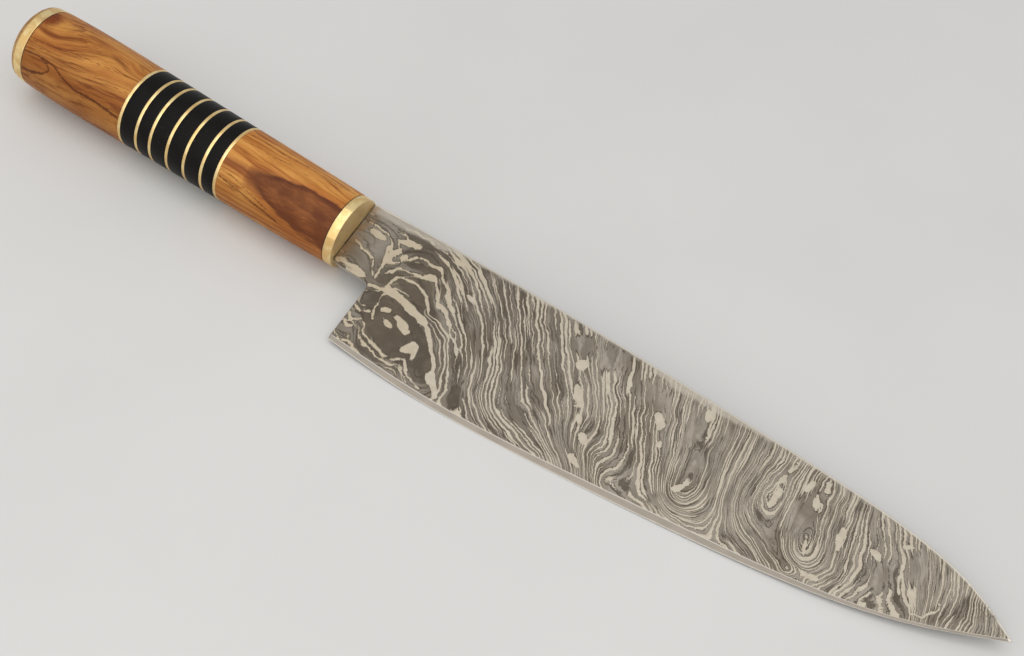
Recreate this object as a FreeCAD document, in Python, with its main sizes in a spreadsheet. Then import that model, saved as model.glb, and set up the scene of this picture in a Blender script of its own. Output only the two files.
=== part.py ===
"""Chef knife with a forged blade and a round handle stacked on a hidden tang. Millimetres.

Every piece is drawn in the knife's own axes: +X along the handle's axis from the ferrule's front
face to the tip, +Y towards the spine, +Z out of the blade's flat. At the end one shared placement
lays the whole knife down on Z = 0 the way it rests, on the handle and the belly of the edge.
"""
import FreeCAD, Part
import math
import os

import Sketcher

Vector = FreeCAD.Vector

DIMENSIONS = (
    ("blade_length", 219.0, "ferrule face to tip"),
    ("shoulder_gap", 0.3, "glue gap between ferrule face and blade shoulder"),
    ("neck_top", 11.7, "spine above the axis at the ferrule"),
    ("neck_bottom", 11.0, "neck's lower edge below the axis"),
    ("neck_corner", 3.0, "length of the rounded corner beside the ferrule"),
    ("heel_back", 13.9, "ferrule face to the blade's back edge"),
    ("choil_radius", 2.4, "inner corner between neck and back edge"),
    ("spine_crown", 13.2, "highest point of the spine above the axis"),
    ("heel_drop", 31.8, "heel corner below the axis"),
    ("belly_drop", 33.1, "lowest point of the edge below the axis"),
    ("tip_drop", 1.8, "tip below the axis"),
    ("spine_thickness", 2.8, "blade thickness at the ferrule, on the spine"),
    ("distal_taper", 0.15, "thinning of each flat towards the tip, degrees"),
    ("edge_taper", 1.17, "thinning of each flat towards the edge, degrees"),
    ("bevel_angle", 10.0, "each side of the sharpened bevel, degrees"),
    ("edge_land", 0.08, "thickness left at the very edge"),
    ("tang_width", 8.6, "flat tang, across"),
    ("tang_thickness", 2.5, "flat tang, through"),
    ("tang_length", 98.0, "flat tang, behind the ferrule face"),
    ("rod_radius", 2.5, "threaded rod welded to the tang"),
    ("rod_length", 26.0, "threaded rod, from the tang's last stretch to its end"),
    ("weld_overlap", 8.0, "length of rod lapped on the flat tang"),
    ("ferrule_thickness", 3.0, "brass disc behind the blade"),
    ("ferrule_slot_play", 0.2, "slot wider than the tang by this"),
    ("glue_film", 0.25, "dark glue line at the ferrule and at the cap"),
    ("film_setback", 0.12, "glue line below the handle's surface"),
    ("front_wood_length", 39.3, "wood between ferrule and rings"),
    ("rear_wood_length", 38.85, "wood between rings and cap"),
    ("brass_ring_thickness", 1.0, "each thin ring"),
    ("black_ring_wide", 5.45, "each wide black ring"),
    ("black_ring_narrow", 4.3, "each narrow black ring"),
    ("cap_thickness", 5.0, "butt cap"),
    ("cap_rounding", 2.0, "round on the cap's rear rim"),
    ("bore_radius", 4.9, "hole for the tang through the stack"),
    ("counterbore_radius", 6.6, "hole for nut and washer"),
    ("counterbore_depth", 10.0, "measured from the wood's rear face"),
    ("washer_radius", 6.4, "steel washer"),
    ("washer_thickness", 1.0, "steel washer"),
    ("nut_flats", 8.0, "hexagon nut, across flats"),
    ("nut_thickness", 4.0, "hexagon nut"),
    ("thread_play", 0.05, "washer and nut bores over the rod's radius"),
    ("ferrule_radius", 11.6, "handle radius at the ferrule face"),
    ("neck_station", 20.0, "distance behind the ferrule face"),
    ("neck_radius", 12.17, "handle radius there"),
    ("waist_station", 60.0, "distance behind the ferrule face"),
    ("waist_radius", 12.78, "handle radius there"),
    ("crown_station", 100.0, "distance behind the ferrule face"),
    ("crown_radius", 13.45, "handle radius there, near its largest"),
    ("butt_radius", 12.85, "handle radius at the butt"),
    ("rest_roll", 17.94, "roll at rest, edge side down, degrees"),
    ("rest_pitch", 1.5, "pitch at rest, tip down, degrees"),
)

# Wide and narrow black rings in turn, from the front wood to the rear wood.
BLACK_RINGS = ("narrow", "wide", "wide", "wide", "narrow", "wide")

# The spine: (share of the blade's length, share of the fall from the crown to the tip).
SPINE_SHARES = ((0.28, 0.0), (0.55, 0.02), (0.735, 0.08), (0.86, 0.24), (0.945, 0.58), (1.0, 1.0))

# The edge: (share of the blade's length, share of the rise from the belly to the tip).
EDGE_SHARES = ((0.18, 0.0), (0.37, 0.07), (0.55, 0.205), (0.73, 0.385), (0.89, 0.67), (1.0, 1.0))

# The neck's rounded corner: its height at the ferrule and its middle point, over its length.
CORNER_RISE = 0.27
CORNER_MIDDLE = (0.3, 0.11)

# The inner points of a wood block's barrel side, over its length.
BARREL_SHARES = (0.25, 0.5, 0.75)

# How far the tools that grind and sharpen the blade reach beyond it, in millimetres.
GRIND_MARGIN = 20.0
BEVEL_OVERRUN = 4.0
BEVEL_OUTSIDE = 1.0
BEVEL_INSIDE = 7.0
BEVEL_HEIGHT = 3.0

NUT_SIDES = 6

doc = FreeCAD.newDocument("chef_knife")
sheet = doc.addObject("Spreadsheet::Sheet", "dims")
pieces = []


def fill_sheet():
    """One row per driving dimension: its name, its value and what it measures."""
    for row, (alias, value, meaning) in enumerate(DIMENSIONS, start=1):
        sheet.set(f"A{row}", alias)
        sheet.set(f"B{row}", str(value))
        sheet.set(f"C{row}", meaning)
        sheet.setAlias(f"B{row}", alias)
    doc.recompute()


def dim(alias):
    """The plain number in the sheet's cell of that name."""
    return float(sheet.get(alias))


def new_body(label):
    body = doc.addObject("PartDesign::Body", label)
    body.Label = label
    return body


def new_sketch(body, plane_role, name):
    """A sketch on one of the body's own origin planes."""
    plane = next(f for f in body.Origin.OriginFeatures if f.Role == plane_role)
    sketch = body.newObject("Sketcher::SketchObject", name)
    sketch.AttachmentSupport = [(plane, "")]
    sketch.MapMode = "FlatFace"
    return sketch


def bind_datum(sketch, kind, target, expression):
    """Ties one coordinate of a sketch point to an expression of the sheet's cells."""
    value = float(sheet.evalExpression(expression))
    geometry, point = target
    if abs(value) < 1e-9:
        axis = -2 if kind == "DistanceX" else -1
        sketch.addConstraint(Sketcher.Constraint("PointOnObject", geometry, point, axis))
        return
    index = sketch.addConstraint(Sketcher.Constraint(kind, -1, 1, geometry, point, value))
    sketch.setExpression(f"Constraints[{index}]", expression)


def smooth_curve(points):
    curve = Part.BSplineCurve()
    curve.interpolate(points)
    return curve


def closed_profile(sketch, corners, barrel=()):
    """Closes a loop through corners given as pairs of expressions, one straight side after another.

    barrel holds inner points of the second side, which then runs smoothly through them.
    """
    points = [Vector(*(float(sheet.evalExpression(e)) for e in corner), 0) for corner in corners]
    count = len(points)
    for index, start in enumerate(points):
        end = points[(index + 1) % count]
        if barrel and index == 1:
            sketch.addGeometry(smooth_curve([start, *barrel, end]), False)
        else:
            sketch.addGeometry(Part.LineSegment(start, end), False)
    for index, (across, up) in enumerate(corners):
        following = (index + 1) % count
        sketch.addConstraint(Sketcher.Constraint("Coincident", index, 2, following, 1))
        bind_datum(sketch, "DistanceX", (index, 1), across)
        bind_datum(sketch, "DistanceY", (index, 1), up)


def turned_body(label, corners, barrel=()):
    """A body of revolution about the handle's axis, from its half profile."""
    body = new_body(label)
    sketch = new_sketch(body, "XY_Plane", f"{label}_profile")
    closed_profile(sketch, corners, barrel)
    turned = body.newObject("PartDesign::Revolution", f"{label}_turned")
    turned.Profile = sketch
    turned.ReferenceAxis = (sketch, ["H_Axis"])
    turned.Angle = 360
    return body


def handle_radius(station):
    """Barrel of the handle: the polynomial through the five radii in the sheet.

    station is the distance behind the ferrule's front face.
    """
    knots = (
        (0.0, dim("ferrule_radius")),
        (dim("neck_station"), dim("neck_radius")),
        (dim("waist_station"), dim("waist_radius")),
        (dim("crown_station"), dim("crown_radius")),
        (total_handle_length(), dim("butt_radius")),
    )
    radius = 0.0
    for here, value in knots:
        weight = 1.0
        for other, _ in knots:
            if other != here:
                weight *= (station - other) / (here - other)
        radius += weight * value
    return radius


def black_ring_alias(number):
    return f"black_ring_{BLACK_RINGS[number - 1]}"


def handle_stack():
    """(label, thickness cell) of each slice on the tang, from the ferrule to the butt cap."""
    stack = [("ferrule", "ferrule_thickness"), ("ferrule_glue_line", "glue_film")]
    stack.append(("front_wood", "front_wood_length"))
    for number in range(1, len(BLACK_RINGS) + 1):
        stack.append((f"brass_ring_{number}", "brass_ring_thickness"))
        stack.append((f"black_ring_{number}", black_ring_alias(number)))
    stack.append((f"brass_ring_{len(BLACK_RINGS) + 1}", "brass_ring_thickness"))
    stack.append(("rear_wood", "rear_wood_length"))
    stack.append(("cap_glue_line", "glue_film"))
    stack.append(("butt_cap", "cap_thickness"))
    return stack


def total_handle_length():
    return sum(dim(cell) for _, cell in handle_stack())


def slice_corners(station, cell, hole, setback=0.0):
    """Half profile of a slice whose front face is at X = 0 in its own frame."""
    front = handle_radius(station) - setback
    back = handle_radius(station + dim(cell)) - setback
    return [
        ("0", hole),
        ("0", f"{front:.4f}"),
        (f"-dims.{cell}", f"{back:.4f}"),
        (f"-dims.{cell}", hole),
    ]


def barrel_points(station, cell):
    """Inner points of a wood block's outer side."""
    depths = [dim(cell) * share for share in BARREL_SHARES]
    return [Vector(-depth, handle_radius(station + depth), 0) for depth in depths]


def make_ferrule(label, station, cell):
    """Brass disc with a slot for the flat tang."""
    body = turned_body(label, slice_corners(station, cell, "0"))
    slot = new_sketch(body, "YZ_Plane", "ferrule_slot")
    half_width = "(dims.tang_width + dims.ferrule_slot_play) / 2"
    half_height = "(dims.tang_thickness + dims.ferrule_slot_play) / 2"
    closed_profile(
        slot,
        [
            (f"-{half_width}", f"-{half_height}"),
            (half_width, f"-{half_height}"),
            (half_width, half_height),
            (f"-{half_width}", half_height),
        ],
    )
    pocket = body.newObject("PartDesign::Pocket", "ferrule_slot_cut")
    pocket.Profile = slot
    pocket.Type = "ThroughAll"
    pocket.Midplane = True
    return body


def make_glue_line(label, station, cell):
    return turned_body(label, slice_corners(station, cell, "dims.bore_radius", dim("film_setback")))


def make_ring(label, station, cell):
    """Thin slice with the tang's hole through it."""
    return turned_body(label, slice_corners(station, cell, "dims.bore_radius"))


def make_front_wood(label, station, cell):
    corners = slice_corners(station, cell, "dims.bore_radius")
    return turned_body(label, corners, barrel_points(station, cell))


def make_rear_wood(label, station, cell):
    """The rear block also holds the counterbore for the washer and the nut."""
    corners = slice_corners(station, cell, "dims.bore_radius")
    floor_of_counterbore = f"-dims.{cell} + dims.counterbore_depth"
    corners[3:] = [
        (f"-dims.{cell}", "dims.counterbore_radius"),
        (floor_of_counterbore, "dims.counterbore_radius"),
        (floor_of_counterbore, "dims.bore_radius"),
    ]
    return turned_body(label, corners, barrel_points(station, cell))


def make_butt_cap(label, station, cell):
    """Solid brass disc with a rounded rear rim."""
    body = turned_body(label, slice_corners(station, cell, "0"))
    doc.recompute()
    disc = body.Tip
    rear_circles = [
        f"Edge{number}"
        for number, edge in enumerate(disc.Shape.Edges, start=1)
        if edge.BoundBox.XMax < -0.9 * dim(cell) and edge.BoundBox.YLength > dim("butt_radius")
    ]
    fillet = body.newObject("PartDesign::Fillet", "cap_rim_round")
    fillet.Base = (disc, rear_circles)
    fillet.setExpression("Radius", "dims.cap_rounding")
    return body


def slice_maker(label):
    makers = {
        "ferrule": make_ferrule,
        "ferrule_glue_line": make_glue_line,
        "cap_glue_line": make_glue_line,
        "front_wood": make_front_wood,
        "rear_wood": make_rear_wood,
        "butt_cap": make_butt_cap,
    }
    return makers.get(label, make_ring)


def make_handle():
    """Every slice of the stack, each placed behind the one before it. Returns {label: station}."""
    station = 0.0
    stations = {}
    for label, cell in handle_stack():
        body = slice_maker(label)(label, station, cell)
        body.Placement.Base = Vector(-station, 0, 0)
        pieces.append(body)
        stations[label] = station
        station += dim(cell)
    return stations


def spine_curve():
    """The spine, nearly level and then dropping to the tip."""
    length = dim("blade_length")
    crown = dim("spine_crown")
    fall = crown + dim("tip_drop")
    points = [Vector(dim("shoulder_gap"), dim("neck_top"), 0)]
    for along, drop in SPINE_SHARES:
        points.append(Vector(along * length, crown - drop * fall, 0))
    return smooth_curve(points)


def edge_curve():
    """The cutting edge, from the heel corner down to the belly and up to the tip."""
    length = dim("blade_length")
    belly = -dim("belly_drop")
    rise = -dim("tip_drop") - belly
    points = [Vector(dim("heel_back"), -dim("heel_drop"), 0)]
    for along, lift in EDGE_SHARES:
        points.append(Vector(along * length, belly + lift * rise, 0))
    return smooth_curve(points)


def blank_outline():
    """Side view of the blade: spine, edge, back edge, choil and neck, in order round the loop."""
    back = dim("heel_back")
    bottom = -dim("neck_bottom")
    choil = dim("choil_radius")
    shoulder = dim("shoulder_gap")
    corner = dim("neck_corner")
    spine = spine_curve()
    edge = edge_curve()
    heel = Vector(back, -dim("heel_drop"), 0)
    choil_low = Vector(back, bottom - choil, 0)
    slant = choil * math.sin(math.radians(45))
    choil_middle = Vector(back - choil + slant, bottom - choil + slant, 0)
    choil_end = Vector(back - choil, bottom, 0)
    corner_end = Vector(shoulder + corner, bottom, 0)
    middle_along, middle_up = CORNER_MIDDLE
    corner_middle = Vector(shoulder + middle_along * corner, bottom + middle_up * corner, 0)
    corner_start = Vector(shoulder, bottom + CORNER_RISE * corner, 0)
    top = Vector(shoulder, dim("neck_top"), 0)
    return [
        spine,
        edge,
        Part.LineSegment(heel, choil_low),
        Part.Arc(choil_low, choil_middle, choil_end),
        Part.LineSegment(choil_end, corner_end),
        Part.Arc(corner_end, corner_middle, corner_start),
        Part.LineSegment(corner_start, top),
    ]


def make_blank():
    """Blade and flat tang at full stock thickness, before grinding, with the welded rod."""
    body = new_body("blade_blank")
    outline = new_sketch(body, "XY_Plane", "blade_outline")
    outline.addGeometry(blank_outline(), False)
    pad = body.newObject("PartDesign::Pad", "blade_plate")
    pad.Profile = outline
    pad.Midplane = True
    pad.setExpression("Length", "dims.spine_thickness + 1")

    tang = new_sketch(body, "XY_Plane", "tang_outline")
    closed_profile(
        tang,
        [
            ("-dims.tang_length", "-dims.tang_width / 2"),
            ("2 * dims.neck_corner", "-dims.tang_width / 2"),
            ("2 * dims.neck_corner", "dims.tang_width / 2"),
            ("-dims.tang_length", "dims.tang_width / 2"),
        ],
    )
    tang_pad = body.newObject("PartDesign::Pad", "tang_plate")
    tang_pad.Profile = tang
    tang_pad.Midplane = True
    tang_pad.setExpression("Length", "dims.tang_thickness")
    return body


def make_rod():
    """Threaded rod on the tang's end, drawn at its outer diameter."""
    rod = doc.addObject("Part::Cylinder", "tang_rod")
    rod.setExpression("Radius", "dims.rod_radius")
    rod.setExpression("Height", "dims.rod_length")
    rod.Placement = FreeCAD.Placement(
        Vector(-dim("tang_length") + dim("weld_overlap"), 0, 0),
        FreeCAD.Rotation(Vector(0, 0, 1), Vector(-1, 0, 0)),
    )
    return rod


def make_grind():
    """Stock removed from the blank's +Z side: a box standing on the finished flat."""
    along = math.tan(math.radians(dim("distal_taper")))
    across = math.tan(math.radians(dim("edge_taper")))
    turn = FreeCAD.Rotation(Vector(0, 0, 1), Vector(along, -across, 1))
    spine_point = Vector(0, dim("neck_top"), dim("spine_thickness") / 2)
    below_spine_point = dim("neck_top") + dim("belly_drop") + GRIND_MARGIN
    box = doc.addObject("Part::Box", "grind")
    box.Length = dim("blade_length") + GRIND_MARGIN
    box.Width = below_spine_point + GRIND_MARGIN
    box.setExpression("Height", "dims.spine_thickness * 2")
    box.Placement = FreeCAD.Placement(spine_point + turn.multVec(Vector(0, -below_spine_point, 0)), turn)
    return box


def make_bevel():
    """Stock removed by sharpening the +Z side: a section swept along the edge and a little past it."""
    path = doc.addObject("Sketcher::SketchObject", "bevel_path")
    curve = edge_curve()
    start = curve.value(curve.FirstParameter)
    heading = curve.tangent(curve.FirstParameter)[0]
    end = curve.value(curve.LastParameter)
    leaving = curve.tangent(curve.LastParameter)[0]
    lead_in = start - heading * BEVEL_OVERRUN
    path.addGeometry(Part.LineSegment(lead_in, start), False)
    path.addGeometry(curve, False)
    path.addGeometry(Part.LineSegment(end, end + leaving * BEVEL_OVERRUN), False)

    inward = Vector(-heading.y, heading.x, 0)
    slope = math.tan(math.radians(dim("bevel_angle")))
    land = dim("edge_land") / 2
    outer_foot = lead_in - inward * BEVEL_OUTSIDE
    inner_foot = lead_in + inward * BEVEL_INSIDE
    outer_corner = outer_foot + Vector(0, 0, land - BEVEL_OUTSIDE * slope)
    inner_corner = inner_foot + Vector(0, 0, land + BEVEL_INSIDE * slope)
    inner_top = inner_foot + Vector(0, 0, BEVEL_HEIGHT)
    outer_top = outer_foot + Vector(0, 0, BEVEL_HEIGHT)

    section = doc.addObject("Part::Feature", "bevel_section")
    section.Shape = Part.makePolygon([outer_corner, inner_corner, inner_top, outer_top, outer_corner])
    sweep = doc.addObject("Part::Sweep", "bevel")
    sweep.Sections = [section]
    sweep.Spine = (path, ["Edge1", "Edge2", "Edge3"])
    sweep.Solid = True
    sweep.Frenet = False
    return sweep


def mirrored(source):
    """The same tool on the blade's -Z side."""
    mirror = doc.addObject("Part::Mirroring", f"{source.Name}_rear")
    mirror.Source = source
    mirror.Normal = Vector(0, 0, 1)
    return mirror


def cut(base, tool, name):
    """Part::Cut that has to remove something."""
    result = doc.addObject("Part::Cut", name)
    result.Base = base
    result.Tool = tool
    doc.recompute()
    if not result.Shape.Volume < base.Shape.Volume:
        raise RuntimeError(f"{name} removed nothing")
    return result


def make_blade():
    """Blade and hidden tang: blank, two ground flats, two bevels, and the rod welded on."""
    blade = make_blank()
    doc.recompute()
    for tool in (make_grind(), make_bevel()):
        doc.recompute()
        blade = cut(blade, tool, f"{tool.Name}_cut")
        blade = cut(blade, mirrored(tool), f"{tool.Name}_rear_cut")
    whole = doc.addObject("Part::Fuse", "blade_with_rod")
    whole.Base = blade
    whole.Tool = make_rod()
    whole.Refine = True
    whole.Label = "blade"
    pieces.append(whole)
    return whole


def make_washer(station):
    washer = turned_body(
        "tang_washer",
        [
            ("0", "dims.rod_radius + dims.thread_play"),
            ("0", "dims.washer_radius"),
            ("-dims.washer_thickness", "dims.washer_radius"),
            ("-dims.washer_thickness", "dims.rod_radius + dims.thread_play"),
        ],
    )
    washer.Placement.Base = Vector(-station, 0, 0)
    pieces.append(washer)


def make_nut(station):
    """Hexagon nut, a pad of six equal sides round the rod's hole."""
    body = new_body("tang_nut")
    sketch = new_sketch(body, "YZ_Plane", "nut_section")
    corner_radius = dim("nut_flats") / math.sqrt(3)
    corners = []
    for index in range(NUT_SIDES):
        angle = 2 * math.pi * index / NUT_SIDES
        across = corner_radius * math.cos(angle)
        up = corner_radius * math.sin(angle)
        corners.append((f"{across:.4f}", f"{up:.4f}"))
    closed_profile(sketch, corners)
    hole = sketch.addGeometry(Part.Circle(Vector(0, 0, 0), Vector(0, 0, 1), dim("rod_radius")), False)
    sketch.addConstraint(Sketcher.Constraint("Coincident", hole, 3, -1, 1))
    radius = sketch.addConstraint(Sketcher.Constraint("Radius", hole, dim("rod_radius")))
    sketch.setExpression(f"Constraints[{radius}]", "dims.rod_radius + dims.thread_play")
    pad = body.newObject("PartDesign::Pad", "nut_pad")
    pad.Profile = sketch
    pad.Reversed = True
    pad.setExpression("Length", "dims.nut_thickness")
    body.Placement.Base = Vector(-station, 0, 0)
    pieces.append(body)


def plug_between(name, start, end, radius):
    """Plain plug on the axis from one station to another."""
    plug = doc.addObject("Part::Cylinder", name)
    plug.Radius = radius
    plug.Height = end - start
    plug.Placement = FreeCAD.Placement(
        Vector(-start, 0, 0), FreeCAD.Rotation(Vector(0, 0, 1), Vector(-1, 0, 0))
    )
    return plug


def make_epoxy(label, start, end, radius, buried):
    """Glue that fills a hole round the pieces buried in it."""
    fill = plug_between(f"{label}_plug", start, end, radius)
    doc.recompute()
    for piece in buried:
        copy = doc.addObject("Part::Feature", f"{label}_around_{piece.Label}")
        copy.Shape = piece.Shape
        fill = cut(fill, copy, f"{label}_less_{piece.Label}")
    fill.Label = label
    pieces.append(fill)


def piece_named(label):
    return next(piece for piece in pieces if piece.Label == label)


def make_fixing(stations):
    """Washer, nut and the glue that beds the tang."""
    rear_face = stations["cap_glue_line"]
    floor_of_counterbore = rear_face - dim("counterbore_depth")
    make_washer(floor_of_counterbore)
    make_nut(floor_of_counterbore + dim("washer_thickness"))
    doc.recompute()
    blade = piece_named("blade")
    film_front = stations["ferrule_glue_line"]
    make_epoxy("tang_epoxy", film_front, floor_of_counterbore, dim("bore_radius"), [blade])
    buried = [blade, piece_named("tang_washer"), piece_named("tang_nut")]
    make_epoxy("butt_epoxy", floor_of_counterbore, rear_face, dim("counterbore_radius"), buried)


def whole_box(turn):
    """Bounding box of all pieces after a turn about the origin."""
    box = FreeCAD.BoundBox()
    for piece in pieces:
        shape = piece.Shape.copy()
        shape.Placement = FreeCAD.Placement(Vector(), turn).multiply(shape.Placement)
        box.add(shape.optimalBoundingBox(False))
    return box


def lay_down():
    """Rolls and pitches every piece alike and stands the lowest point on Z = 0."""
    roll = FreeCAD.Rotation(Vector(1, 0, 0), dim("rest_roll"))
    pitch = FreeCAD.Rotation(Vector(0, 1, 0), dim("rest_pitch"))
    turn = pitch.multiply(roll)
    box = whole_box(turn)
    to_table = Vector(-box.Center.x, -box.Center.y, -box.ZMin)
    rest = FreeCAD.Placement(to_table, turn)
    for piece in pieces:
        piece.Placement = rest.multiply(piece.Placement)
    doc.recompute()
    return rest


def check_document():
    """Stops on any failed object and on any piece that is not one good solid."""
    for item in doc.Objects:
        if "Invalid" in item.State or "Error" in item.State:
            raise RuntimeError(f"{item.Label} failed: {item.State}")
    for piece in pieces:
        shape = piece.Shape
        if shape.isNull() or not shape.isValid() or len(shape.Solids) != 1:
            raise RuntimeError(f"{piece.Label} is not one valid solid")
        print(f"{piece.Label:20s} {shape.Volume:10.1f} mm3")


def write_parts():
    os.makedirs("parts", exist_ok=True)
    for piece in pieces:
        piece.Shape.exportStep(f"parts/{piece.Label}.step")


fill_sheet()
make_blade()
slice_stations = make_handle()
doc.recompute()
make_fixing(slice_stations)
doc.recompute()
rest_placement = lay_down()
check_document()
write_parts()
print("rest placement", rest_placement)
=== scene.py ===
import math

import bmesh
import bpy
import numpy as np
from mathutils import Matrix, Vector


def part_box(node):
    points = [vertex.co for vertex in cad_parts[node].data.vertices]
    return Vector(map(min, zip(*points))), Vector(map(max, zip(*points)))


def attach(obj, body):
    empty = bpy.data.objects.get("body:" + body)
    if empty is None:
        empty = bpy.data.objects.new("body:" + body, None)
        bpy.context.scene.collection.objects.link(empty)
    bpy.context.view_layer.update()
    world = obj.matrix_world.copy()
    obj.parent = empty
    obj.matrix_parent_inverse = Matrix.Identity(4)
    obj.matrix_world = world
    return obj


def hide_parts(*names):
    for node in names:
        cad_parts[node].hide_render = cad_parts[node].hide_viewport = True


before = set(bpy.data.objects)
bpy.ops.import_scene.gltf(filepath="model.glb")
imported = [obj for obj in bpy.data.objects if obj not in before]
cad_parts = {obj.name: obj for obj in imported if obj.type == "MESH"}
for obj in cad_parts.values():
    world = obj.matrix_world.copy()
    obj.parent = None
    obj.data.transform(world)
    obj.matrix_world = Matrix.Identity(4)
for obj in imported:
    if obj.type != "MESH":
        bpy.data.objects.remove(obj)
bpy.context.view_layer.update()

# Looks of the chef knife. Meshes are drawn in the knife's own axes, in millimetres: +X along the
# handle's axis from the ferrule's front face to the tip, +Y to the spine, +Z out of the flat that
# faces up. KNIFE lays them down as the frame lies. Materials work in the same axes and millimetres.

MM = 0.001
SEED = 7
SHARP = math.radians(24)

# How the knife lies: on its handle and on the belly of its edge.
REST_ROLL = math.radians(17.94)
REST_PITCH = math.radians(1.5)

# ---- handle, measured by station, the distance behind the ferrule's front face ----

RADIUS_KNOTS = ((0.0, 11.6), (20.0, 12.17), (60.0, 12.78), (100.0, 13.45), (124.05, 12.85))
FERRULE = 3.0
GLUE_LINE = 0.25
FRONT_WOOD = 39.3
REAR_WOOD = 38.85
BRASS_RING = 1.0
BLACK_WIDE = 5.45
BLACK_NARROW = 4.3
BLACK_RINGS = (BLACK_NARROW, BLACK_WIDE, BLACK_WIDE, BLACK_WIDE, BLACK_NARROW, BLACK_WIDE)
CAP = 5.0
CAP_ROUND = 2.0
METAL_ROUND = 0.06
WOOD_ROUND = 0.16
FERRULE_FRONT_ROUND = 0.12
BORE = 4.9
COUNTERBORE = 6.6
COUNTERBORE_DEPTH = 10.0
TURNS = 192
ANGLES = np.arange(TURNS) * 2 * math.pi / TURNS

# ---- blade: outlines as (x, y) points, the bevel's width as (x, width) points, then its sizes ----

SPINE_LINE = ((0.3, 11.7), (61.3, 13.2), (120.5, 12.9), (161.0, 12.0), (188.3, 9.6), (207.0, 4.5),
              (219.0, -1.8))
EDGE_LINE = ((13.9, -31.8), (39.4, -33.1), (81.0, -30.9), (120.5, -26.7), (159.9, -21.05), (194.9, -12.1),
             (219.0, -1.8))
BEVEL_WIDTH = ((13.9, 1.5), (30.0, 1.9), (80.0, 2.0), (125.0, 2.3), (150.0, 1.8), (170.0, 1.35),
               (182.0, 1.0), (219.0, 0.8))
SHOULDER = 0.3
HEEL_BACK = 13.9
NECK_BOTTOM = -11.0
CHOIL = 2.4
ARRIS = 0.35
HALF_SPINE = 1.4
DISTAL_TAPER = math.tan(math.radians(0.15))
EDGE_TAPER = math.tan(math.radians(1.17))
EDGE_LAND = 0.04
TIP_THINNING = 0.45
TIP_THINNING_FROM = 140.0
TIP_BLUNTNESS = 0.15
# At the tip the bevel takes up no more than this share of the height.
BEVEL_LIMIT = 0.6
BEVEL_STEPS = np.array((0.5, 1.0))
NECK_CORNER_RISE = 0.81
NECK_CORNER_LENGTH = 3.0
CELL = 0.5
TANG_LENGTH = 98.0
TANG_WIDTH = 8.6
TANG_THICKNESS = 2.5
ROD_RADIUS = 2.5
ROD_END = 116.0
ROD_START = 90.0
THREAD_PITCH = 0.8
THREAD_DEPTH = 0.35

# The far side shows the same stack cut a little further on: its pattern is the near side's at
# these scales and shifts.
FAR_SIDE_SCALE = (0.95, 0.94)
FAR_SIDE_SHIFT = (7.0, -0.6)

# Depth of a point that lies inside no stroke and no ellipse.
FAR_OUTSIDE = -9.0

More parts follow.
